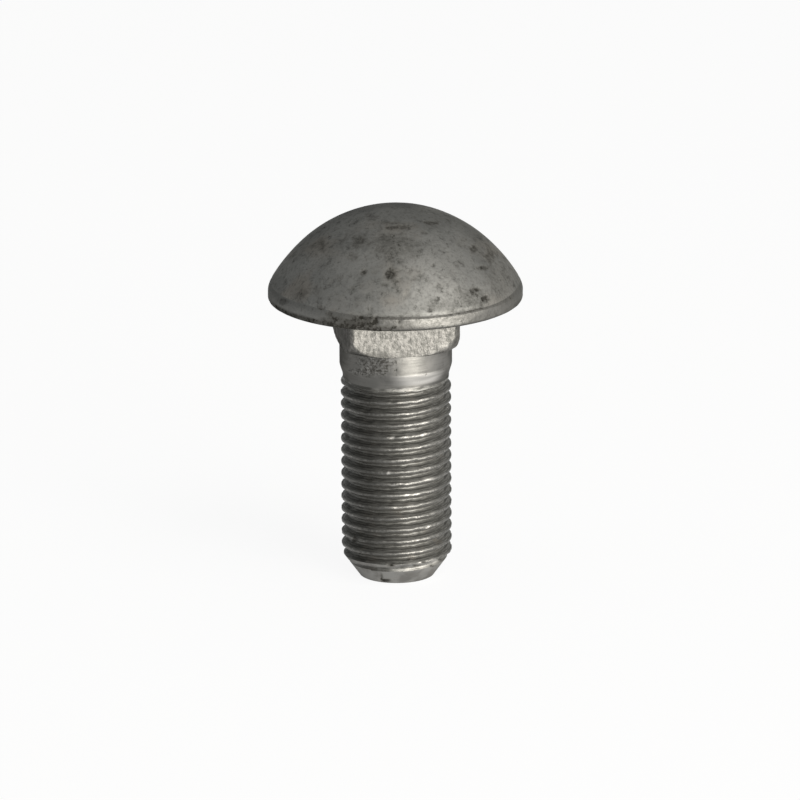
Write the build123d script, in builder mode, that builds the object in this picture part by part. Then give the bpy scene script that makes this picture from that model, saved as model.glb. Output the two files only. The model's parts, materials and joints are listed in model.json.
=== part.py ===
from build123d import *
import math
import os

# Carriage bolt: a high dome head on a square neck, a plain collar that tapers to the rolling blank,
# a threaded shank and a chamfered flat end, all one piece of forged steel. The bolt stands on its
# flat end: the axis is Z, the origin is the middle of that end, and the square lies along X and Y.

# Head: an upright rim under a round dome
head_diameter = 31.7
rim_height = 1.55
rim_chamfer = 0.2
dome_height = 10.1
dome_edge_radius = 0.5

# Length from the underside of the head to the flat end
shank_length = 35.65

# Square neck, which keeps the bolt from turning. Its lower corners are rounded off into the collar.
neck_width = 14.05
neck_edge_radius = 0.8
neck_length = 5.8
neck_rounding_height = 2.95

# Plain collar, the taper below it, and the short stretch of blank that the rolling dies left bare
collar_diameter = 14.0
collar_length = 2.45
taper_length = 1.4
blank_length = 0.5

# Thread, as the cylinder over its crests. Rolling raised them above the blank, over the run-out.
thread_diameter = 13.75
crest_height = 0.27
runout_length = 0.5

# Flat end and the point, the cone that leads the thread into a nut
end_diameter = 9.25
point_length = 3.1

# Heights above the flat end
underside = shank_length
dome_base = underside + rim_height
head_top = dome_base + dome_height
neck_bottom = underside - neck_length
neck_foot = neck_bottom - collar_length / 2
rounding_top = neck_bottom + neck_rounding_height
collar_bottom = neck_bottom - collar_length
taper_bottom = collar_bottom - taper_length
blank_bottom = taper_bottom - blank_length
thread_top = blank_bottom - runout_length

# Radii
head_radius = head_diameter / 2
neck_corner_radius = neck_width / math.sqrt(2)
collar_radius = collar_diameter / 2
thread_radius = thread_diameter / 2
blank_radius = thread_radius - crest_height
end_radius = end_diameter / 2

os.makedirs("parts", exist_ok=True)

with BuildPart() as bolt:
    # Head: half its section turned about the axis, with the lower and upper corners of the rim eased
    with BuildSketch(Plane.XZ) as head_section:
        with BuildLine():
            dome = TangentArc((0, head_top), (head_radius, dome_base), tangent=(1, 0))
            Polyline(dome @ 1, (head_radius, underside), (0, underside), dome @ 0)
        make_face()
        chamfer(head_section.vertices().group_by(Axis.X)[-1].sort_by(Axis.Y)[0], rim_chamfer)
        fillet(head_section.vertices().group_by(Axis.X)[-1].sort_by(Axis.Y)[-1], dome_edge_radius)
    revolve(axis=Axis.Z)

    # Square neck, drawn down into the collar
    with BuildSketch(Plane.XY.offset(neck_foot)):
        RectangleRounded(neck_width, neck_width, neck_edge_radius)
    extrude(amount=underside - neck_foot)

    # Turn away what stands outside the collar, so that the corners of the neck end in a rounded slope
    with BuildSketch(Plane.XZ):
        with BuildLine():
            slope = EllipticalCenterArc(
                (collar_radius, rounding_top),
                neck_corner_radius - collar_radius,
                neck_rounding_height,
                start_angle=-90,
                arc_size=90,
            )
            Polyline(
                slope @ 1,
                (neck_corner_radius + neck_edge_radius, rounding_top),
                (neck_corner_radius + neck_edge_radius, collar_bottom),
                (collar_radius, collar_bottom),
                slope @ 0,
            )
        make_face()
    revolve(axis=Axis.Z, mode=Mode.SUBTRACT)

    # Shank: flat end, point, thread, run-out, blank, taper and collar
    with BuildSketch(Plane.XZ):
        with BuildLine():
            Polyline(
                (0, 0),
                (end_radius, 0),
                (thread_radius, point_length),
                (thread_radius, thread_top),
                (blank_radius, blank_bottom),
                (blank_radius, taper_bottom),
                (collar_radius, collar_bottom),
                (collar_radius, neck_bottom),
                (0, neck_bottom),
                close=True,
            )
        make_face()
    revolve(axis=Axis.Z)

bolt.part.label = "bolt"
export_step(bolt.part, "parts/bolt.step")
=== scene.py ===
import json
import math
import random
from collections import namedtuple

import bpy
import numpy as np
from mathutils import Matrix, Vector, noise


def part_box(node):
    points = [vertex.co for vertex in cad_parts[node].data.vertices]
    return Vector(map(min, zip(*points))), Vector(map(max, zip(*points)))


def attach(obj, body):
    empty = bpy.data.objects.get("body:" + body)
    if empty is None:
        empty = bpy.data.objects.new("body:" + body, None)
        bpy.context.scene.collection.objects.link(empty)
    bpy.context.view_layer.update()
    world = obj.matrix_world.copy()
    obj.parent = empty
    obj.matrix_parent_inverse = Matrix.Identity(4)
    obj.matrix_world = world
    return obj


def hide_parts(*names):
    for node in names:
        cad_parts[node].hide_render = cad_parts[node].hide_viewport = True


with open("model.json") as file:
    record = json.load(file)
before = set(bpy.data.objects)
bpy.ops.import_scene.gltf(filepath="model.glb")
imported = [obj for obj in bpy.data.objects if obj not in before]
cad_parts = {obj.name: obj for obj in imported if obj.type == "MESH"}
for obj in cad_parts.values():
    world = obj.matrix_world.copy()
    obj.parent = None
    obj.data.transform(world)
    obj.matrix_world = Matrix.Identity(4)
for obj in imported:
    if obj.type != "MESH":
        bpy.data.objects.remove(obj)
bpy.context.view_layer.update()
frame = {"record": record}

# Lengths are in millimetres, and become metres where they go into Blender. Angles are in radians, round
# the bolt's axis from +X.
MM = 0.001
TAU = 2 * math.pi

# What the solid bolt fixes: its box, and the places and radii of its mounts
mounts = {mount["name"]: mount for mount in frame["record"]["mounts"]}
box_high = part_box("bolt")[1]
HEAD_RADIUS = box_high.x / MM
HEAD_TOP = box_high.z / MM
UNDERSIDE = mounts["head_seat"]["pos_m"][2] / MM
COLLAR_RADIUS = mounts["collar"]["dims"]["r_mm"]
THREAD_RADIUS = mounts["thread"]["dims"]["r_mm"]

# Head
RIM_HEIGHT = 1.55
RIM_LOWER_ROUND = 0.35
DOME_BASE = UNDERSIDE + RIM_HEIGHT
# The dome is a little more pointed than a ball: an ellipse whose middle is this far below its foot
DOME_SINK = 11.6
# The rim's upper edge is crisp near this angle. Elsewhere it rolls over into the dome, whose foot rises by
# a share of the roll, and dull scale runs down across it to between these heights.
RIM_CRISP_ANGLE = math.radians(280)
RIM_CRISP_REACH = (math.radians(30), math.radians(60))
RIM_UPPER_ROUND = 0.5
DOME_FOOT_RISE_SHARE = 0.6
RIM_DULL_HEIGHTS = (UNDERSIDE + 0.45, UNDERSIDE + 0.9)
# The rim is darker along its lower edge, to either side of this angle, and the darkening ends between these
# heights
RIM_DARKENING_ANGLE = math.radians(225)
RIM_DARKENING_REACH = (math.radians(25), math.radians(48))
RIM_DARKENING_HEIGHTS = (UNDERSIDE + 0.5, UNDERSIDE + 0.95)
# A shallow crease, darkened with painted shade, lies on the foot of the dome along the crisp stretch, this
# far above the rim's edge
CREASE_RISE = 0.3
CREASE_DEPTH = 0.03
CREASE_REACH = 0.4

# Square neck, rounded off into the collar
NECK_WIDTH = 14.05
NECK_LENGTH = 5.8
NECK_BOTTOM = UNDERSIDE - NECK_LENGTH
NECK_CORNER_RADIUS = NECK_WIDTH / math.sqrt(2)
NECK_ROUNDING_HEIGHT = 2.95
# Width that each worn edge takes off a flat: right back, left back, left front and right front
NECK_EDGE_WEAR = (0.6, 0.6, 0.42, 0.78)
# Rounding between each turned-off corner and the neck's sides, in the same order. It fades out towards the
# middle of the flats, by this power.
NECK_FOOT_ROUND = (1.0, 0.8, 0.5, 1.6)
NECK_FOOT_FADE = 1.5

# Collar, taper and the bare blank above the thread
COLLAR_LENGTH = 2.45
TAPER_LENGTH = 1.4
BLANK_LENGTH = 0.5
COLLAR_BOTTOM = NECK_BOTTOM - COLLAR_LENGTH
TAPER_BOTTOM = COLLAR_BOTTOM - TAPER_LENGTH
BLANK_BOTTOM = TAPER_BOTTOM - BLANK_LENGTH
CREST_RISE = 0.27
BLANK_RADIUS = THREAD_RADIUS - CREST_RISE
# The blank is straight to just below the taper, whose line is bent by this share into a soft S
BLANK_TOP = TAPER_BOTTOM - 0.05
TAPER_BEND_SHARE = 0.4
# A highlight is painted in streaks on the taper at this angle and between these heights, and shade is
# painted on the collar away from it
TAPER_HIGHLIGHT_ANGLE = math.radians(290)
TAPER_HIGHLIGHT_REACH = (0.15, 0.7)
TAPER_HIGHLIGHT_HEIGHTS = (TAPER_BOTTOM + 0.1, COLLAR_BOTTOM + 0.05)
COLLAR_SHADE_REACH = (0.7, 1.4)
# Shade is painted on the thread and the taper, darkest at this angle, and it fades out over this reach
SHANK_SHADE_ANGLE = math.radians(229)
SHANK_SHADE_REACH = 0.55

# Thread: right-hand. At angle zero one crest has its middle at CREST_START above the flat end.
PITCH = 1.5
CREST_START = 0.37
THREAD_DEPTH = 0.915
RUNOUT_LENGTH = 0.5
THREAD_FULL = BLANK_BOTTOM - RUNOUT_LENGTH
# Half of one turn's profile: distance from the crest's middle along the axis, and depth as a share
PROFILE_STEPS = (0.0, 0.10, 0.17, 0.30, 0.45, 0.60, 0.67, PITCH / 2)
PROFILE_DEPTH_SHARES = (0.0, 0.01, 0.05, 0.30, 0.64, 0.94, 0.99, 1.0)
# The run-out and the cone are finished like a flank at this distance from its crest
MID_FLANK = 0.4

# Flat end and the cone above it
END_RADIUS = 4.625
POINT_LENGTH = 3.1
END_EDGE_ROUND = 0.04
# A face belongs to the cone where its corners lie on it as closely as this
CONE_TOLERANCE = 0.001

# Fineness of the skin: steps round the shank, and twice as many round the neck and head
SHANK_STEPS = 192
HEAD_STEPS = 2 * SHANK_STEPS
# Rows that follow the thread's helix start low on the cone and end just above the run-out
HELIX_FOOT = POINT_LENGTH / 3
HELIX_TOP = BLANK_BOTTOM + 0.2
# Rows of faces up each of the other stretches
FLAT_END_ROWS = 5
CONE_ROWS = 7
TAPER_ROWS = 6
COLLAR_ROWS = 11
NECK_SLOPE_ROWS = 6
NECK_FOOT_ROWS = 5
NECK_ROWS = 14
UNDERSIDE_ROWS = 5
RIM_ROUND_ROWS = 4
RIM_WALL_ROWS = 6
DOME_FOOT_ROWS = 4
DOME_ROWS = 74
# Edges that turn by more than this are shaded sharp
SHARP_EDGE = math.radians(40)

# The photograph's camera: a long lens that looks down a little, from the left of the neck's front flat
CAMERA_ELEVATION = math.radians(16.12)
CAMERA_ANGLE = math.radians(270 - 10.2)
CAMERA_ROLL = math.radians(0.3)
LENS = 500
SENSOR = 36
PIXELS = 800
PIXELS_PER_MM = 8.044
# What the middle of the picture looks at: a height on the axis and a step to the viewer's right
AIM_HEIGHT = 22.40
AIM_RIGHT = 0.5

to_camera = Vector((
    math.cos(CAMERA_ELEVATION) * math.cos(CAMERA_ANGLE),
    math.cos(CAMERA_ELEVATION) * math.sin(CAMERA_ANGLE),
    math.sin(CAMERA_ELEVATION),
))
level_right = Vector((0, 0, 1)).cross(to_camera).normalized()
level_up = to_camera.cross(level_right)
camera_right = level_right * math.cos(CAMERA_ROLL) - level_up * math.sin(CAMERA_ROLL)
camera_up = level_right * math.sin(CAMERA_ROLL) + level_up * math.cos(CAMERA_ROLL)
aim = Vector((0, 0, AIM_HEIGHT)) + level_right * AIM_RIGHT

# Marks seen on the front: x and y in the photograph, reach across and down in its pixels, depth in mm,
# and how much dirt they hold
DOME_MARKS = (
    (390, 275.4, 5.6, 5.6, 0.07, 0.95),
    (364.6, 273, 3.4, 2.8, 0.06, 1.00),
    (375, 274, 5.0, 1.6, 0.02, 0.35),
    (385, 286, 4.5, 1.4, 0.03, 0.70),
    (395, 282.5, 4.5, 1.4, 0.03, 0.70),
    (362, 288, 2.6, 2.4, 0.03, 0.50),
    (353, 289, 2.6, 2.0, 0.03, 0.45),
    (340, 280, 3.6, 2.4, 0.03, 0.40),
    (360, 242, 7.5, 5.5, 0.05, 0.70),
    (353, 258, 5.5, 4.5, 0.02, 0.40),
    (322, 246, 3.0, 6.5, 0.04, 0.50),
    (304, 294, 5.0, 5.0, 0.03, 0.50),
    (318, 291, 3.5, 5.0, 0.03, 0.35),
    (397, 229, 16.0, 1.8, 0.02, 0.80),
    (391, 224, 12.0, 1.5, 0.02, 0.55),
    (371, 218, 6.0, 4.0, 0.03, 0.45),
    (431, 224, 6.5, 2.6, 0.04, 0.85),
    (424, 234, 4.0, 2.0, 0.04, 0.60),
    (461, 243, 7.0, 5.0, 0.02, 0.35),
    (473, 250, 4.5, 4.5, 0.05, 0.85),
    (490, 257, 5.5, 7.5, 0.05, 0.75),
    (483, 269, 6.0, 2.4, 0.05, 0.90),
    (499, 273, 3.5, 4.0, 0.04, 0.50),
    (474, 292, 5.0, 3.4, 0.06, 1.00),
    (484, 300, 4.8, 3.6, 0.06, 1.00),
    (437, 301, 3.2, 2.2, 0.04, 0.80),
    (430, 311.6, 3.2, 2.0, 0.04, 0.80),
    (433, 267, 2.2, 1.8, 0.04, 0.80),
    (457, 266, 2.4, 1.8, 0.03, 0.40),
    (414, 280, 2.6, 2.0, 0.04, 0.40),
    (322, 309, 3.6, 2.0, 0.04, 0.50),
    (330, 315, 3.6, 2.0, 0.04, 0.60),
    (283, 302, 5.0, 3.0, 0.05, 0.50),
    (394, 247, 22.0, 15.0, 0.00, 0.55),
    (474, 299, 20.0, 9.0, 0.00, 0.52),
    (448, 308, 18.0, 6.0, 0.00, 0.36),
    (500, 282, 14.0, 20.0, 0.00, 0.46),
)
RIM_MARKS = (
    (362, 318.5, 2.8, 2.2, 0.10, 0.90),
    (362.5, 326, 3.4, 2.8, 0.12, 0.90),
    (376, 322.5, 2.4, 4.5, 0.16, 1.00),
    (400, 322.5, 1.4, 2.4, 0.05, 0.60),
    (368, 322, 10.0, 7.0, 0.02, 0.70),
    (352, 324, 13.0, 4.5, 0.02, 0.72),
    (334, 321, 14.0, 3.2, 0.02, 0.55),
)
COLLAR_MARKS = (
    (377, 362, 21.0, 7.5, 0.01, 0.55),
    (372, 371, 19.0, 5.0, 0.01, 0.55),
    (375, 363.5, 4.0, 1.2, 0.05, 0.80),
    (368, 370, 4.0, 1.2, 0.04, 0.80),
    (379, 371.5, 3.5, 1.4, 0.05, 0.80),
    (386, 366, 2.0, 1.6, 0.04, 0.80),
    (396, 370.5, 1.8, 1.6, 0.05, 0.80),
    (397, 376, 5.0, 0.9, 0.03, 0.60),
    (426, 374.5, 1.8, 1.6, 0.04, 0.80),
)
THREAD_MARKS = (
    (354.5, 539.5, 2.2, 2.6, 0.12, 0.80),
    (392, 438, 4.0, 2.0, 0.10, 0.20),
    (422, 435, 3.0, 1.8, 0.10, 0.20),
    (404, 470, 3.0, 1.6, 0.07, 0.40),
    (378, 486, 4.0, 1.6, 0.07, 0.40),
    (412, 519, 4.0, 1.6, 0.08, 0.40),
    (394, 544, 3.0, 1.6, 0.08, 0.40),
)
POINT_MARKS = (
    (381.5, 577, 1.3, 2.8, 0.10, 0.70),
    (385.5, 581.2, 4.0, 1.5, 0.12, 0.95),
    (415, 565.5, 3.0, 1.2, 0.06, 0.70),
    (424, 562, 2.4, 1.3, 0.08, 0.80),
    (432.5, 566, 2.2, 1.5, 0.08, 0.80),
    (408, 560.5, 2.6, 1.1, 0.06, 0.70),
    (440, 559.5, 2.0, 1.6, 0.08, 0.90),
    (402, 567.5, 2.4, 1.0, 0.05, 0.60),
    (391, 565, 2.6, 1.3, 0.08, 0.80),
)
# Places of bright steel on the front, partly rubbed steel and partly painted highlights and glints, with
# how bright in place of the depth
RUBBED_AND_HIGHLIGHT_MARKS = (
    (392.7, 437.9, 1.8, 1.8, 1.0),
    (422.3, 435.4, 2.0, 1.5, 1.0),
    (388.5, 472.5, 1.5, 1.4, 0.9),
    (428, 479, 6.0, 1.7, 0.7),
    (424, 422.5, 3.5, 2.0, 0.45),
    (407, 495, 2.2, 1.4, 0.6),
    (394, 363, 9.0, 9.0, 0.12),
    (494, 308, 20.0, 7.0, 0.09),
    (436, 362, 9.0, 11.0, 0.2),
    (447, 362, 5.0, 11.0, 0.25),
    (447, 347.5, 9.0, 4.0, 0.18),
    (424, 567, 14.0, 6.0, 0.32),
    (436, 562, 6.0, 3.0, 0.5),
    (426, 575, 12.0, 6.0, 0.12),
)
# A mark ends at this many times its reach, with a ragged edge, and dirt fills it almost to there
MARK_SPREAD = 1.6
MARK_RAGGEDNESS = 0.45
DIRT_FILL = 1.6
# Distance from a mark that leaves a point untouched
OUT_OF_REACH = 2
# Small marks scattered over the dome, and the dirt that they hold
SCATTERED_MARKS = 70
SCATTERED_DIRT = 0.5
# Least cosine to the camera of what the front's marks reach, and of the dome's front, where the scattered
# marks hold less dirt
FRONT_FACING = 0.05
DOME_FRONT = 0.2
DOME_FRONT_DIRT = 0.25

# How deep the uneven surface of each stretch goes, and how far the thread's rows wander up and down
DOME_WAVES = 0.05
RIM_WAVES = 0.09
NECK_SCORES = 0.07
THREAD_NICKS = 0.12
THREAD_WANDER = 0.07


def smooth_step(value, low, high):
    """0 at low, 1 at high, with a soft start and stop."""
    share = np.clip((value - low) / (high - low), 0, 1)
    return share * share * (3 - 2 * share)


def even_shares(count):
    """Even steps up to 1, without the 0."""
    return np.linspace(0, 1, count + 1)[1:]


def between(start, end, share):
    return start + (end - start) * share


def bend(start, corner, end, share):
    """A place on the curve that leaves start towards the corner and comes in to end from it."""
    return (1 - share)**2 * start + 2 * share * (1 - share) * corner + share**2 * end


def angles_round(steps):
    return np.arange(steps) * TAU / steps


def turned_from(angle, middle):
    """How far an angle is turned from the middle, up to half a turn either way."""
    return np.abs((angle - middle + TAU / 2) % TAU - TAU / 2)


def rim_softness(angle):
    """How far the rim's upper edge is rolled over: 0 where it is crisp, up to 1."""
    return smooth_step(turned_from(angle, RIM_CRISP_ANGLE), *RIM_CRISP_REACH)


def square_radius(angle):
    """Distance from the axis to the neck's square, along each angle, with its edges worn off."""
    from_flat = (angle + TAU / 8) % (TAU / 4) - TAU / 8
    radius = NECK_WIDTH / 2 / np.cos(from_flat)
    for corner, wear in enumerate(NECK_EDGE_WEAR):
        from_corner = turned_from(angle, TAU / 8 * (2 * corner + 1))
        bevel = (NECK_WIDTH - wear) / math.sqrt(2) / np.cos(np.minimum(from_corner, TAU / 8))
        radius = np.where(from_corner < TAU / 8, np.minimum(radius, bevel), radius)
    return radius


def share_to_corner(radius):
    """How far out a radius lies: 0 on the collar, 1 on the sharp corner of the neck's square."""
    return (radius - COLLAR_RADIUS) / (NECK_CORNER_RADIUS - COLLAR_RADIUS)


def slope_height(radius):
    """Height of the ellipse that rounds the neck's corners off into the collar."""
    return NECK_BOTTOM + NECK_ROUNDING_HEIGHT * (1 - np.sqrt(1 - share_to_corner(radius)**2))


def from_crest(height, angle):
    """Distance along the axis to the nearest crest of the thread."""
    turns = (height - CREST_START) / PITCH - angle / TAU
    return np.abs(turns - np.round(turns)) * PITCH


def cone_radius(height):
    return between(END_RADIUS, THREAD_RADIUS, height / POINT_LENGTH)


def shank_radius(height, angle):
    """The rolled shank from the point to the blank: the thread, cut off below by the cone."""
    depth = THREAD_DEPTH * np.interp(from_crest(height, angle), PROFILE_STEPS, PROFILE_DEPTH_SHARES)
    rolled = 1 - smooth_step(height, THREAD_FULL, BLANK_BOTTOM)
    return np.minimum(BLANK_RADIUS + (CREST_RISE - depth) * rolled, cone_radius(height))


class Skin:
    """The bolt's surface as it is laid out: points, faces and the finish of each face."""

    def __init__(self):
        self.points = []
        self.faces = []
        self.finishes = []

    def ring(self, radius, height, steps):
        """A closed row of points round the axis. Radius and height may change with the angle."""
        angle = angles_round(steps)
        radius = np.broadcast_to(radius, angle.shape)
        height = np.broadcast_to(height, angle.shape)
        first = len(self.points)
        self.points.extend(zip(radius * np.cos(angle), radius * np.sin(angle), height))
        return list(range(first, first + steps))

    def face(self, corners, finish):
        """A face without its repeated corners, left out where fewer than three remain."""
        corners = list(dict.fromkeys(corners))
        if len(corners) > 2:
            self.faces.append(corners)
            self.finishes.append(finish)

    def band(self, lower, upper, finish):
        """Faces between two rings, where the upper one has as many points, or twice as many."""
        count = len(lower)
        finer = len(upper) // count
        for step in range(count):
            following = (step + 1) % count
            across = [upper[(step * finer + k) % len(upper)] for k in range(finer, -1, -1)]
            self.face([lower[step], lower[following], *across], finish)

    def rise(self, ring, rows, finish, steps):
        """Bands from a ring through rows of radius and height. The last row is the ring to go on from."""
        for radius, height in rows:
            following = self.ring(radius, height, steps)
            self.band(ring, following, finish)
            ring = following
        return ring

    def cap(self, ring, height, finish, upward):
        """Close a small ring with one point on the axis."""
        self.points.append((0, 0, height))
        middle = len(self.points) - 1
        for step, corner in enumerate(ring):
            following = ring[(step + 1) % len(ring)]
            self.face([corner, following, middle] if upward else [following, corner, middle], finish)

    def helix_row(self, height_at_zero, foot, top):
        """Points up one turn of the helix, held between the level rings at its foot and top."""
        angle = angles_round(len(foot))
        heights = height_at_zero + PITCH * angle / TAU
        radii = shank_radius(heights, angle)
        row = []
        for step, height in enumerate(heights):
            if height <= HELIX_FOOT:
                row.append(foot[step])
            elif height >= HELIX_TOP:
                row.append(top[step])
            else:
                row.append(len(self.points))
                x = radii[step] * math.cos(angle[step])
                y = radii[step] * math.sin(angle[step])
                self.points.append((x, y, height))
        return row

    def thread(self, foot, top):
        """Faces along the helix between two level rings, with a row on each line of the profile."""
        offsets = sorted({sign * step for step in PROFILE_STEPS for sign in (-1, 1)})[1:]
        first_turn = math.floor((HELIX_FOOT - CREST_START) / PITCH) - 2
        last_turn = math.ceil((HELIX_TOP - CREST_START) / PITCH) + 2
        rows = []
        for turn in range(first_turn, last_turn):
            for offset in offsets:
                rows.append(self.helix_row(CREST_START + PITCH * turn + offset, foot, top))
        for row in range(len(rows) - len(offsets) - 1):
            here = rows[row] + rows[row + len(offsets)][:1]
            above = rows[row + 1] + rows[row + 1 + len(offsets)][:1]
            for step in range(len(foot)):
                corners = [here[step], here[step + 1], above[step + 1], above[step]]
                self.face(corners, "point" if all(self.on_cone(corner) for corner in corners) else "thread")

    def on_cone(self, corner):
        x, y, height = self.points[corner]
        return math.hypot(x, y) > cone_radius(height) - CONE_TOLERANCE


def lay_out_point(skin):
    """Flat end with a soft edge, and the plain cone up to where the thread can begin."""
    flat_radius = END_RADIUS - END_EDGE_ROUND
    first, *others = even_shares(FLAT_END_ROWS)
    ring = skin.ring(first * flat_radius, 0, SHANK_STEPS)
    skin.cap(ring, 0, "point", upward=False)
    rows = [(share * flat_radius, 0) for share in others]
    for height in np.linspace(END_EDGE_ROUND, HELIX_FOOT, CONE_ROWS + 1):
        rows.append((cone_radius(height), height))
    return skin.rise(ring, rows, "point", SHANK_STEPS)


def lay_out_thread(skin, ring):
    top = skin.ring(BLANK_RADIUS, HELIX_TOP, SHANK_STEPS)
    skin.thread(ring, top)
    return top


def lay_out_collar(skin, ring):
    """Blank, taper and collar."""
    rows = [(BLANK_RADIUS, BLANK_TOP)]
    for share in even_shares(TAPER_ROWS):
        bent = between(share, smooth_step(share, 0, 1), TAPER_BEND_SHARE)
        radius = between(BLANK_RADIUS, COLLAR_RADIUS, bent)
        rows.append((radius, between(TAPER_BOTTOM, COLLAR_BOTTOM, share)))
    ring = skin.rise(ring, rows, "collar", SHANK_STEPS)
    rows = []
    for share in even_shares(COLLAR_ROWS):
        rows.append((COLLAR_RADIUS, between(COLLAR_BOTTOM, NECK_BOTTOM, share)))
    return skin.rise(ring, rows, "collar", HEAD_STEPS)


def lay_out_neck(skin, ring):
    """Turned-off corners, from the collar out to where they meet the square, and the flats above them."""
    square = square_radius(angles_round(HEAD_STEPS))
    rounding = np.repeat(NECK_FOOT_ROUND, HEAD_STEPS // 4) * share_to_corner(square)**NECK_FOOT_FADE
    slope_end = square - rounding
    rows = []
    for share in even_shares(NECK_SLOPE_ROWS):
        radius = between(COLLAR_RADIUS, slope_end, share)
        rows.append((radius, slope_height(radius)))
    ring = skin.rise(ring, rows, "collar", HEAD_STEPS)

    meet_height = slope_height(square)
    flat_bottom = meet_height + rounding
    rows = []
    for share in even_shares(NECK_FOOT_ROWS):
        height = bend(slope_height(slope_end), meet_height, flat_bottom, share)
        rows.append((bend(slope_end, square, square, share), height))
    for share in even_shares(NECK_ROWS):
        rows.append((square, between(flat_bottom, UNDERSIDE, share)))
    return skin.rise(ring, rows, "neck", HEAD_STEPS)


def lay_out_head(skin, ring):
    """Underside and rim, and the dome, whose foot rolls over into the rim."""
    angle = angles_round(HEAD_STEPS)
    square = square_radius(angle)
    rim_inner = HEAD_RADIUS - RIM_LOWER_ROUND
    rows = [(between(square, rim_inner, share), UNDERSIDE) for share in even_shares(UNDERSIDE_ROWS)]
    for turn in TAU / 4 * even_shares(RIM_ROUND_ROWS):
        height = UNDERSIDE + RIM_LOWER_ROUND * (1 - math.cos(turn))
        rows.append((rim_inner + RIM_LOWER_ROUND * math.sin(turn), height))
    rolled = RIM_UPPER_ROUND * rim_softness(angle)
    wall_top = DOME_BASE - rolled
    for share in even_shares(RIM_WALL_ROWS):
        rows.append((HEAD_RADIUS, between(UNDERSIDE + RIM_LOWER_ROUND, wall_top, share)))

    dome_up = HEAD_TOP - DOME_BASE + DOME_SINK
    dome_out = HEAD_RADIUS / math.cos(math.asin(DOME_SINK / dome_up))
    foot_height = DOME_BASE + CREASE_RISE + rolled * DOME_FOOT_RISE_SHARE
    foot_turn = np.arcsin((foot_height - DOME_BASE + DOME_SINK) / dome_up)
    foot_radius = dome_out * np.cos(foot_turn)
    for share in even_shares(DOME_FOOT_ROWS):
        height = bend(wall_top, DOME_BASE, foot_height, share)
        rows.append((bend(HEAD_RADIUS, HEAD_RADIUS, foot_radius, share), height))
    ring = skin.rise(ring, rows, "rim", HEAD_STEPS)

    rows = []
    for share in even_shares(DOME_ROWS)[:-1]:
        turn = between(foot_turn, TAU / 4, share)
        rows.append((dome_out * np.cos(turn), DOME_BASE - DOME_SINK + dome_up * np.sin(turn)))
    ring = skin.rise(ring, rows, "dome", HEAD_STEPS)
    skin.cap(ring, HEAD_TOP, "dome", upward=True)


def lay_out_bolt():
    """The whole surface, from the middle of the flat end up to the top of the dome."""
    skin = Skin()
    ring = lay_out_point(skin)
    ring = lay_out_thread(skin, ring)
    ring = lay_out_collar(skin, ring)
    ring = lay_out_neck(skin, ring)
    lay_out_head(skin, ring)
    return skin


def photo_place(points):
    """Where points, in millimetres, fall in the photograph."""
    from_aim = points - np.array(aim)
    x = PIXELS / 2 + PIXELS_PER_MM * from_aim @ np.array(camera_right)
    y = PIXELS / 2 - PIXELS_PER_MM * from_aim @ np.array(camera_up)
    return x, y


def noise_at(points, size, stretch=(1, 1, 1), seed=0):
    """Smooth noise of about -1 to 1 over points, with bumps of that size in millimetres."""
    scaled = points / (size * np.array(stretch)) + seed
    return np.array([noise.noise(Vector(point)) for point in scaled])


def waves_at(points, size, stretch=(1, 1, 1), seed=0):
    """The same noise, from about 0 to 1."""
    return 0.5 + 0.5 * noise_at(points, size, stretch, seed)


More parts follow.
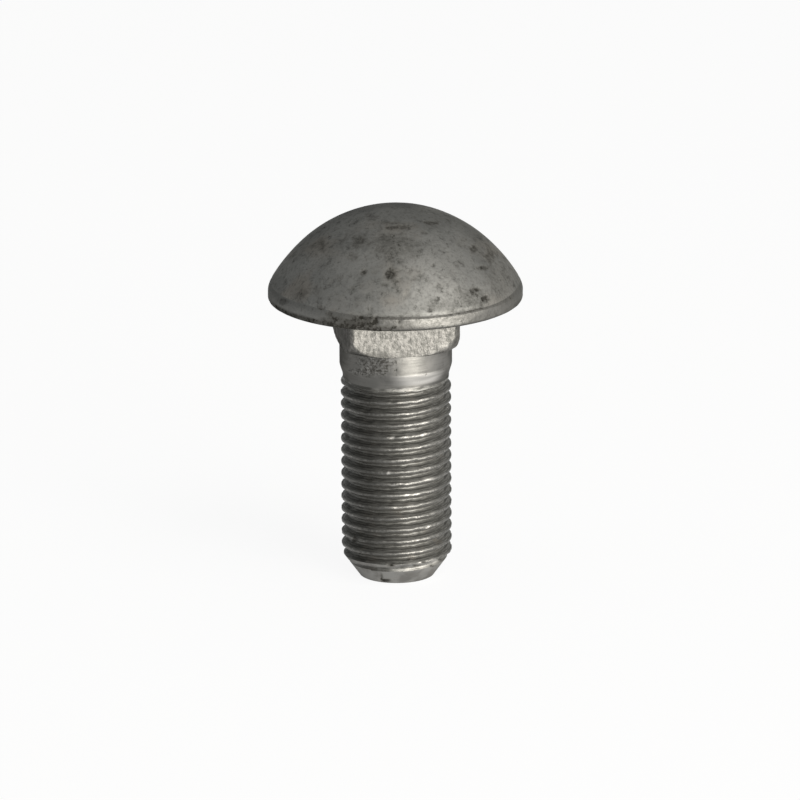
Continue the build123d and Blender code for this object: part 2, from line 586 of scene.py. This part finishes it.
class Wear:
    """Marks on the skin: how far each point is pressed in, and the dirt that it holds."""

    def __init__(self, points, normals):
        self.points = points
        self.pressed = np.zeros(len(points))
        self.dirt_and_shade = np.zeros(len(points))
        self.x, self.y = photo_place(points)
        self.in_front = normals @ np.array(to_camera) > FRONT_FACING
        self.ragged = 1 + MARK_RAGGEDNESS * noise_at(points, size=0.7, seed=11)

    def reach_from(self, mark_x, mark_y, across, down):
        """Distance from a mark of the front: 0 in its middle and 1 at its edge."""
        reach = np.hypot((self.x - mark_x) / across, (self.y - mark_y) / down) / MARK_SPREAD
        return np.where(self.in_front, reach * self.ragged, OUT_OF_REACH)

    def press(self, reach, depth, soil):
        dent = smooth_step(1 - reach, 0, 1)
        self.pressed = np.maximum(self.pressed, dent * depth)
        self.dirt_and_shade = np.maximum(self.dirt_and_shade, np.minimum(DIRT_FILL * dent, 1) * soil)

    def mark_the_front(self):
        for marks in (DOME_MARKS, RIM_MARKS, COLLAR_MARKS, THREAD_MARKS, POINT_MARKS):
            for *place, depth, soil in marks:
                self.press(self.reach_from(*place), depth, soil)

    def scatter_marks(self, is_dome):
        """The like of the front's marks all over the dome, fainter where the front has its own."""
        dice = random.Random(5)
        for _ in range(SCATTERED_MARKS):
            angle = dice.uniform(0, TAU)
            out = HEAD_RADIUS * math.sqrt(dice.uniform(0.05, 0.95))
            size = dice.uniform(0.25, 0.7)
            stretch = dice.uniform(0.6, 1.6)
            depth = dice.uniform(0.02, 0.05)
            offset = self.points[:, :2] - np.array((out * math.cos(angle), out * math.sin(angle)))
            reach = np.hypot(offset[:, 0] / stretch, offset[:, 1] * stretch) / size * self.ragged
            in_front = math.cos(angle - CAMERA_ANGLE) > DOME_FRONT
            soil = DOME_FRONT_DIRT if in_front else SCATTERED_DIRT
            self.press(np.where(is_dome, reach, OUT_OF_REACH), depth, soil)

    def rubbed_and_highlight_places(self, angle, height):
        """How bright each point is made: a painted highlight in streaks on the taper, and the front's own
        places of rubbed steel, painted highlights and glints.
        """
        shine_bottom, shine_top = TAPER_HIGHLIGHT_HEIGHTS
        on_taper = (height > shine_bottom) & (height < shine_top)
        # A painted highlight, in streaks, on the taper at one side
        taper_highlight = 1 - smooth_step(turned_from(angle, TAPER_HIGHLIGHT_ANGLE), *TAPER_HIGHLIGHT_REACH)
        streaks = 0.75 + 0.5 * noise_at(self.points, size=1.2, stretch=(2.5, 2.5, 0.2), seed=51)
        rubbed_and_highlight = np.where(on_taper, streaks * taper_highlight, 0)
        for *place, brightness in RUBBED_AND_HIGHLIGHT_MARKS:
            rubbed_and_highlight = np.maximum(rubbed_and_highlight, brightness * smooth_step(1 - self.reach_from(*place), 0, 1))
        return rubbed_and_highlight


def dull_and_shade_places(angle, height):
    """How dull each point is, with painted shade: dull scale on the rim where it rolls over, and painted
    shade on one side of the collar and shank.
    """
    rim_dull = rim_softness(angle) * smooth_step(height, *RIM_DULL_HEIGHTS)
    collar_shade = smooth_step(turned_from(angle, TAPER_HIGHLIGHT_ANGLE), *COLLAR_SHADE_REACH)
    shank_shade = 1 - smooth_step(turned_from(angle, SHANK_SHADE_ANGLE), 0, SHANK_SHADE_REACH)
    return np.select([height > UNDERSIDE, height > COLLAR_BOTTOM], [rim_dull, collar_shade], shank_shade)


def wear_the_skin(points, normals, is_dome, is_rim, is_neck, is_thread):
    """The points after wear; the dirt, with painted shade in the crease, that each holds; its rubbed steel
    and painted highlights; and its dull scale and painted shade.
    """
    angle = np.arctan2(points[:, 1], points[:, 0])
    height = points[:, 2]
    wear = Wear(points, normals)
    wear.mark_the_front()
    wear.scatter_marks(is_dome)

    # Darker along the rim's lower edge on one side, and painted shade in the crease at the foot of the dome
    rim_darkening = 1 - smooth_step(turned_from(angle, RIM_DARKENING_ANGLE), *RIM_DARKENING_REACH)
    rim_darkening = rim_darkening * (1 - smooth_step(height, *RIM_DARKENING_HEIGHTS))
    rim_darkening = rim_darkening * (0.7 + 0.3 * noise_at(points, size=2.0, seed=61))
    dirt_and_shade = np.maximum(wear.dirt_and_shade, np.where(is_rim, rim_darkening, 0))
    from_crease = np.abs(height - DOME_BASE - CREASE_RISE)
    crease = (1 - smooth_step(from_crease, 0, CREASE_REACH)) * (1 - rim_softness(angle))
    crease = np.where(is_dome | is_rim, crease, 0)
    # Painted shade in the crease at the foot of the dome, carried on with the dirt
    dirt_and_shade = np.maximum(dirt_and_shade, crease * (0.45 + 0.4 * noise_at(points, size=4.0, seed=31)))

    # Uneven surface of each stretch
    dome_waves = DOME_WAVES * waves_at(points, size=4.5, seed=3)
    rim_waves = RIM_WAVES * waves_at(points, size=1.6, stretch=(1, 1, 0.5), seed=7)
    scores = NECK_SCORES * waves_at(points, size=0.32, stretch=(1, 1, 3), seed=17)
    nicks = np.clip(noise_at(points, size=0.75, stretch=(1, 1, 0.6), seed=23) - 0.1, 0, 1)
    pressed = wear.pressed + CREASE_DEPTH * crease
    for place, depth in (
        (is_dome, dome_waves),
        (is_rim, rim_waves),
        (is_neck, scores),
        (is_thread, THREAD_NICKS * nicks),
    ):
        pressed = pressed + np.where(place, depth, 0)
    worn = points - normals * pressed[:, None]
    worn[:, 2] += np.where(is_thread, THREAD_WANDER * noise_at(points, size=1.0, seed=41), 0)
    return worn, dirt_and_shade, wear.rubbed_and_highlight_places(angle, height), dull_and_shade_places(angle, height)


def make_bolt():
    skin = lay_out_bolt()
    zones = sorted(set(skin.finishes))
    points = np.array(skin.points, dtype=float)
    mesh = bpy.data.meshes.new("bolt_skin")
    mesh.from_pydata(points.tolist(), [], skin.faces)
    mesh.update()
    normals = np.zeros(3 * len(points))
    mesh.vertices.foreach_get("normal", normals)
    normals = normals.reshape(-1, 3)

    touches = {zone: np.zeros(len(points), dtype=bool) for zone in zones}
    for face, zone in zip(skin.faces, skin.finishes):
        touches[zone][face] = True
    height = points[:, 2]
    on_end = height < END_EDGE_ROUND / 2
    on_seat = np.isclose(height, UNDERSIDE) & (np.hypot(points[:, 0], points[:, 1]) > NECK_WIDTH / 2)
    worn, dirt_and_shade, rubbed_and_highlight, dull_and_shade = wear_the_skin(
        points,
        normals,
        is_dome=touches["dome"],
        is_rim=touches["rim"] & ~on_seat,
        is_neck=touches["neck"] & ~touches["rim"],
        is_thread=touches["thread"] & ~touches["collar"] & ~touches["point"],
    )
    worn[on_end] = points[on_end]

    mesh.vertices.foreach_set("co", (worn * MM).ravel())
    flank = from_crest(height, np.arctan2(points[:, 1], points[:, 0]))
    bare_run = np.maximum(smooth_step(height, THREAD_FULL, BLANK_BOTTOM), height < POINT_LENGTH)
    flank = between(flank, MID_FLANK, bare_run)
    for name, values in (("dirt_and_shade", dirt_and_shade), ("rubbed_and_highlight", rubbed_and_highlight), ("dull_and_shade", dull_and_shade), ("flank", flank)):
        mesh.attributes.new(name, "FLOAT", "POINT").data.foreach_set("value", values)
    mesh.polygons.foreach_set("material_index", [zones.index(zone) for zone in skin.finishes])
    mesh.update()
    mesh.shade_smooth()
    mesh.set_sharp_from_angle(angle=SHARP_EDGE)

    bolt = bpy.data.objects.new("bolt_steel", mesh)
    bpy.context.scene.collection.objects.link(bolt)
    return bolt, zones


class Socket:
    """An output of a shader node. Arithmetic on it adds Math nodes."""

    def __init__(self, shader, output):
        self.shader = shader
        self.output = output

    def math(self, operation, *values):
        return self.shader.node("ShaderNodeMath", {"operation": operation}, dict(enumerate(values)))

    def __add__(self, other):
        return self.math("ADD", self, other)

    def __sub__(self, other):
        return self.math("SUBTRACT", self, other)

    def __rsub__(self, other):
        return self.math("SUBTRACT", other, self)

    def __mul__(self, other):
        return self.math("MULTIPLY", self, other)

    __radd__ = __add__
    __rmul__ = __mul__

    def at_most(self, other):
        return self.math("MINIMUM", self, other)

    def at_least(self, other):
        return self.math("MAXIMUM", self, other)

    def away_from(self, other):
        return self.math("ABSOLUTE", self - other)

    def ramp(self, low, high):
        """0 at low, 1 at high, with a soft start and stop."""
        return self.shader.node(
            "ShaderNodeMapRange",
            {"interpolation_type": "SMOOTHSTEP"},
            {"Value": self, "From Min": low, "From Max": high},
        )


class Shader:
    """The nodes of one material."""

    def __init__(self, tree):
        self.tree = tree
        self.tree.nodes.clear()

    def node(self, kind, settings=None, inputs=None, output=0):
        """Add a node: its settings first, then the values or links of its sockets."""
        node = self.tree.nodes.new(kind)
        for name, value in (settings or {}).items():
            setattr(node, name, value)
        for name, value in (inputs or {}).items():
            if isinstance(value, Socket):
                self.tree.links.new(value.output, node.inputs[name])
            else:
                node.inputs[name].default_value = value
        return Socket(self, node.outputs[output]) if node.outputs else None

    def place(self, stretch=(1, 1, 1)):
        """Position on the bolt in millimetres, drawn out by the stretch along X, Y and Z."""
        position = self.node("ShaderNodeTexCoord", output="Object")
        per_mm = tuple(1 / (MM * share) for share in stretch)
        return self.node("ShaderNodeVectorMath", {"operation": "MULTIPLY"}, {0: position, 1: per_mm})

    def noise_over(self, place, size, detail, roughness):
        return self.node(
            "ShaderNodeTexNoise",
            inputs={"Vector": place, "Scale": 1 / size, "Detail": detail, "Roughness": roughness},
        )

    def noise(self, size, detail=3, roughness=0.55, stretch=(1, 1, 1)):
        """Noise from 0 to 1 with patches of about that size in millimetres."""
        return self.noise_over(self.place(stretch), size, detail, roughness)

    def striations(self, fineness, length):
        """Noise drawn out along the thread, in millimetres: fine across a flank, long round the shank."""
        place = self.place((length, length, 1))
        x = self.node("ShaderNodeSeparateXYZ", inputs={0: place}, output="X")
        y = self.node("ShaderNodeSeparateXYZ", inputs={0: place}, output="Y")
        across = self.attribute("flank") * (1 / fineness)
        drawn = self.node("ShaderNodeCombineXYZ", inputs={"X": x, "Y": y, "Z": across})
        return self.noise_over(drawn, size=1, detail=3, roughness=0.6)

    def attribute(self, name):
        return self.node("ShaderNodeAttribute", {"attribute_name": name}, output="Fac")

    def blend(self, amount, first, second):
        """A mix of two colours."""
        return self.node("ShaderNodeMix", {"data_type": "RGBA"}, {0: amount, 6: first, 7: second}, output=2)

    def bump(self, height, strength, distance):
        return self.node(
            "ShaderNodeBump", inputs={"Height": height, "Strength": strength, "Distance": distance * MM}
        )


def colour(red, green, blue):
    return (red, green, blue, 1)


SOOT_AND_SHADE = colour(0.022, 0.021, 0.018)
DARK_STEEL = colour(0.085, 0.084, 0.078)
SATIN_STEEL = colour(0.125, 0.123, 0.116)
DULL_SCALE = colour(0.185, 0.185, 0.177)
PALE_SCALE = colour(0.257, 0.254, 0.242)
BROWN_SCALE = colour(0.25, 0.222, 0.19)
BARE_STEEL = colour(0.18, 0.175, 0.165)
CREST_STEEL = colour(0.245, 0.239, 0.226)
BRIGHT_STEEL_AND_HIGHLIGHT = colour(0.55, 0.537, 0.51)

# How much of its shine the steel keeps when seen edge-on. The thread keeps more of it.
EDGE_SHINE = 0.3
THREAD_EDGE_SHINE = 0.9
# How far full soil takes the metal's shine away, how much it roughens it, and the roughest it gets
SOIL_TARNISH = 0.3
SOIL_ROUGHENING = 0.3
ROUGHEST = 0.9

# A finish: colour, roughness and bump, the soil on it with any painted shade, its dull tarnish, and its
# shine edge-on
Finish = namedtuple("Finish", "base roughness bump soil tarnish edge_shine", defaults=(0, EDGE_SHINE))


def finish_steel(name, make):
    """A steel material with the finish that make(shader) gives."""
    material = bpy.data.materials.new(name)
    material.use_nodes = True
    shader = Shader(material.node_tree)
    finish = make(shader)
    # Rubbed steel and painted highlights and glints lighten the base
    base = shader.blend(shader.attribute("rubbed_and_highlight"), finish.base, BRIGHT_STEEL_AND_HIGHLIGHT)
    surface = shader.node(
        "ShaderNodeBsdfPrincipled",
        inputs={
            # Soil darkens the base towards soot, and carries the painted shade of the crease
            "Base Color": shader.blend(finish.soil, base, SOOT_AND_SHADE),
            "Metallic": 1 - (finish.soil * SOIL_TARNISH + finish.tarnish).at_most(1),
            "Roughness": (finish.roughness + finish.soil * SOIL_ROUGHENING).at_most(ROUGHEST),
            "Specular Tint": colour(finish.edge_shine, finish.edge_shine, finish.edge_shine),
            "Normal": finish.bump,
        },
    )
    shader.node("ShaderNodeOutputMaterial", inputs={"Surface": surface})
    return material


def soil_and_shade_on(shader, fine, coarse, thin, thick, patchy=0.5, gather=0.15):
    """Dark specks where two noises meet, closer together where the surface holds dirt, added to that dirt
    and the painted shade it carries.
    """
    dirt_and_shade = shader.attribute("dirt_and_shade")
    specks = (fine * 0.5 + coarse * 0.5 + dirt_and_shade * gather).ramp(thin, thick)
    return (specks * 0.6 + dirt_and_shade * (fine.ramp(0.3, 0.6) * patchy + (1 - patchy))).at_most(1)


def dome_finish(shader):
    """Forged head: dull mottled scale with pits, scratches and a brown bloom."""
    clouds = shader.noise(6.0, detail=5).ramp(0.34, 0.66)
    bloom = shader.noise(7.0, detail=3, roughness=0.5).ramp(0.52, 0.72)
    grain = shader.noise(0.4, detail=3, roughness=0.7)
    patches = shader.noise(1.0, detail=3).ramp(0.45, 0.62)
    scratches = shader.noise(1.7, detail=3, roughness=0.6).away_from(0.5).ramp(0.035, 0.0) * patches
    blotches = shader.noise(2.0, detail=6, roughness=0.72).ramp(0.5, 0.70)
    base = shader.blend(clouds * 0.75 + grain.ramp(0.5, 0.3) * 0.25, DULL_SCALE, PALE_SCALE)
    base = shader.blend(bloom * 0.4, base, BROWN_SCALE)
    dark = blotches * 0.45 + scratches * 0.45 + grain.ramp(0.48, 0.70) * 0.4
    base = shader.blend(dark.at_most(1), base, DARK_STEEL)
    coarse = shader.noise(1.3, detail=5, roughness=0.65)
    soil = soil_and_shade_on(shader, grain, coarse, thin=0.58, thick=0.74, patchy=0.35, gather=0.06)
    relief = grain * 0.8 + shader.noise(1.2, detail=3) - scratches * 0.4
    bump = shader.bump(relief, strength=0.6, distance=0.03)
    return Finish(base, roughness=0.50 + grain * 0.16, bump=bump, soil=soil)


def rim_finish(shader):
    """Edge of the head: scale rubbed down to bare steel in places."""
    bared = shader.noise(2.5, detail=4, stretch=(1, 1, 0.6)).ramp(0.35, 0.6)
    grain = shader.noise(0.45, detail=4, roughness=0.75)
    base = shader.blend(bared * 0.4, SATIN_STEEL, BARE_STEEL)
    base = shader.blend(grain.ramp(0.42, 0.65) * 0.7, base, DARK_STEEL)
    base = shader.blend(shader.attribute("dull_and_shade") * 0.6, base, DULL_SCALE)
    soil = soil_and_shade_on(shader, grain, shader.noise(1.0, detail=4), thin=0.56, thick=0.70, patchy=0.2)
    bump = shader.bump(grain + shader.noise(0.9), strength=0.8, distance=0.04)
    return Finish(base, roughness=0.45 + grain * 0.18, bump=bump, soil=soil)


def neck_finish(shader):
    """Square flats: bright, with the fine mottled upright scores of the die."""
    scores = shader.noise(0.4, detail=4, roughness=0.7, stretch=(1, 1, 1.9))
    dull_and_shade = shader.noise(1.1, detail=4).ramp(0.5, 0.72)
    base = shader.blend(scores.ramp(0.36, 0.62), DARK_STEEL, BARE_STEEL)
    base = shader.blend(dull_and_shade * 0.5, base, SATIN_STEEL)
    soil = soil_and_shade_on(shader, scores, shader.noise(0.8, detail=4), thin=0.58, thick=0.74) * 0.7
    bump = shader.bump(scores + shader.noise(0.45, detail=3) * 0.7, strength=1.0, distance=0.07)
    return Finish(base, roughness=0.49 + scores * 0.12, bump=bump, soil=soil)


def collar_finish(shader):
    """Drawn collar and blank: satin, with faint rings and patches of fine specks, and painted shade on one
    side.
    """
    rings = shader.noise(0.5, detail=4, roughness=0.65, stretch=(6, 6, 0.35))
    clouds = shader.noise(2.2, detail=4).ramp(0.42, 0.68)
    flecks = shader.noise(0.35, detail=4, roughness=0.75)
    dirt_and_shade = shader.attribute("dirt_and_shade")
    base = shader.blend(clouds * 0.65, SATIN_STEEL, BARE_STEEL)
    base = shader.blend(rings.ramp(0.48, 0.72) * 0.6, base, DARK_STEEL)
    # Painted shade on one side of the collar and the blank
    base = shader.blend(shader.attribute("dull_and_shade") * 0.35, base, DARK_STEEL)
    base = shader.blend(dirt_and_shade * flecks.ramp(0.5, 0.35) * 0.35, base, BRIGHT_STEEL_AND_HIGHLIGHT)
    soil = (flecks * 0.7 + rings * 0.3 + dirt_and_shade * 0.22).ramp(0.58, 0.70) * 0.8
    bump = shader.bump(rings + flecks * (dirt_and_shade * 2 + 0.4), strength=0.5, distance=0.02)
    return Finish(base, roughness=0.36 + rings * 0.12, bump=bump, soil=soil)


def thread_finish(shader):
    """Rolled thread: grey flanks lined by the dies, with painted shade on one side, and crests rubbed
    bright.
    """
    flank = shader.attribute("flank")
    crest = flank.ramp(0.24, 0.06)
    root = flank.ramp(0.52, 0.70)
    sparkle = shader.noise(0.4, detail=4, roughness=0.6).ramp(0.42, 0.62)
    uneven = sparkle * shader.noise(3.0).ramp(0.35, 0.6)
    lines = shader.striations(fineness=0.09, length=2.5)
    grain = shader.noise(0.28, detail=4, roughness=0.75, stretch=(1.5, 1.5, 1))
    brown = shader.noise(2.5, detail=3).ramp(0.58, 0.75)
    base = shader.blend(lines.ramp(0.38, 0.62) * 0.75, DARK_STEEL, PALE_SCALE)
    base = shader.blend(brown * 0.3, base, BROWN_SCALE)
    base = shader.blend((grain.ramp(0.52, 0.68) * 0.6).at_least(root * 0.25), base, DARK_STEEL)
    base = shader.blend(crest, base, SATIN_STEEL)
    base = shader.blend(crest * uneven, base, CREST_STEEL)
    # Painted shade, darkest on one side of the thread
    base = shader.blend(shader.attribute("dull_and_shade") * 0.52, base, SOOT_AND_SHADE)
    soil = soil_and_shade_on(shader, grain, shader.noise(1.2, detail=4), thin=0.52, thick=0.70)
    return Finish(
        base,
        roughness=0.53 + grain * 0.12 - crest * 0.12,
        bump=shader.bump(lines + grain, strength=0.7, distance=0.04),
        soil=soil * (1 - crest * 0.3),
        tarnish=(1 - crest) * 0.1,
        edge_shine=THREAD_EDGE_SHINE,
    )


def point_finish(shader):
    """Cone and flat end: sheared steel with faint turning marks."""
    marks = shader.noise(0.4, detail=3, stretch=(3, 3, 0.6))
    clouds = shader.noise(1.5, detail=4).ramp(0.4, 0.65)
    base = shader.blend(clouds, PALE_SCALE, BARE_STEEL)
    base = shader.blend(marks.ramp(0.55, 0.75) * 0.3, base, BROWN_SCALE)
    soil = soil_and_shade_on(shader, marks, shader.noise(0.8, detail=4), thin=0.60, thick=0.76, patchy=0.2)
    bump = shader.bump(marks + shader.noise(0.8) * 0.6, strength=0.35, distance=0.03)
    return Finish(base, roughness=0.42 + marks * 0.14, bump=bump, soil=soil)


def dress_bolt():
    finishes_by_zone = {
        "dome": dome_finish,
        "rim": rim_finish,
        "neck": neck_finish,
        "collar": collar_finish,
        "thread": thread_finish,
        "point": point_finish,
    }
    bolt, zones = make_bolt()
    for zone in zones:
        bolt.data.materials.append(finish_steel(zone + "_steel", finishes_by_zone[zone]))
    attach(bolt, "root")
    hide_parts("bolt")


def make_floor():
    """A wide pale floor. Seen directly or in the metal it is near white, and it keeps a soft shadow."""
    mesh = bpy.data.meshes.new("floor")
    steps = 96
    radius_in_metres = 3
    edge = [
        (radius_in_metres * math.cos(angle), radius_in_metres * math.sin(angle), 0)
        for angle in angles_round(steps)
    ]
    mesh.from_pydata(edge, [], [list(range(steps))])
    floor = bpy.data.objects.new("floor", mesh)
    bpy.context.scene.collection.objects.link(floor)
    material = bpy.data.materials.new("pale_floor")
    material.use_nodes = True
    shader = Shader(material.node_tree)
    seen = shader.node("ShaderNodeLightPath", output="Is Camera Ray")
    for ray in ("Is Glossy Ray", "Is Transmission Ray"):
        seen = seen.at_least(shader.node("ShaderNodeLightPath", output=ray))
    paper = shader.node("ShaderNodeBsdfDiffuse", inputs={"Color": colour(0.9, 0.9, 0.9)})
    glow = shader.node("ShaderNodeEmission", inputs={"Color": colour(1, 1, 1), "Strength": 1.0})
    surface = shader.node("ShaderNodeMixShader", inputs={0: seen * 0.9, 1: paper, 2: glow})
    shader.node("ShaderNodeOutputMaterial", inputs={"Surface": surface})
    mesh.materials.append(material)


def add_lamp(name, turn_right, elevation, distance, size, power, tint=(1, 0.965, 0.9)):
    """A soft lamp aimed at the bolt, placed by its degrees to the viewer's right and above level."""
    angle = CAMERA_ANGLE + math.radians(turn_right)
    height = math.radians(elevation)
    direction = Vector((
        math.cos(height) * math.cos(angle), math.cos(height) * math.sin(angle), math.sin(height)
    ))
    lamp = bpy.data.lights.new(name, "AREA")
    lamp.shape = "RECTANGLE"
    lamp.size, lamp.size_y = size
    lamp.energy = power
    lamp.color = tint
    holder = bpy.data.objects.new(name, lamp)
    target = Vector((0, 0, AIM_HEIGHT * MM))
    holder.location = target + direction * distance
    holder.rotation_euler = direction.to_track_quat("Z", "Y").to_euler()
    bpy.context.scene.collection.objects.link(holder)


def light_the_studio():
    """An even sky and two lamps, whose distances and sizes are in metres."""
    world = bpy.data.worlds.new("studio")
    bpy.context.scene.world = world
    world.use_nodes = True
    shader = Shader(world.node_tree)
    sky = shader.node("ShaderNodeBackground", inputs={"Color": colour(0.975, 1, 1), "Strength": 0.47})
    shader.node("ShaderNodeOutputWorld", inputs={"Surface": sky})
    add_lamp("window", turn_right=35, elevation=4, distance=1.0, size=(0.60, 0.13), power=24)
    add_lamp("upper_light", turn_right=44, elevation=50, distance=1.0, size=(0.5, 0.5), power=2.8)


def place_camera():
    data = bpy.data.cameras.new("camera")
    data.lens = LENS
    data.sensor_width = SENSOR
    data.clip_end = 20
    frame_width = PIXELS / PIXELS_PER_MM * MM
    distance = frame_width * LENS / SENSOR
    camera = bpy.data.objects.new("camera", data)
    turned = Matrix((camera_right, camera_up, to_camera)).transposed()
    camera.matrix_world = Matrix.Translation(aim * MM + to_camera * distance) @ turned.to_4x4()
    bpy.context.scene.collection.objects.link(camera)
    bpy.context.scene.camera = camera


bpy.context.scene.view_settings.view_transform = "Standard"
dress_bolt()
make_floor()
light_the_studio()
place_camera()
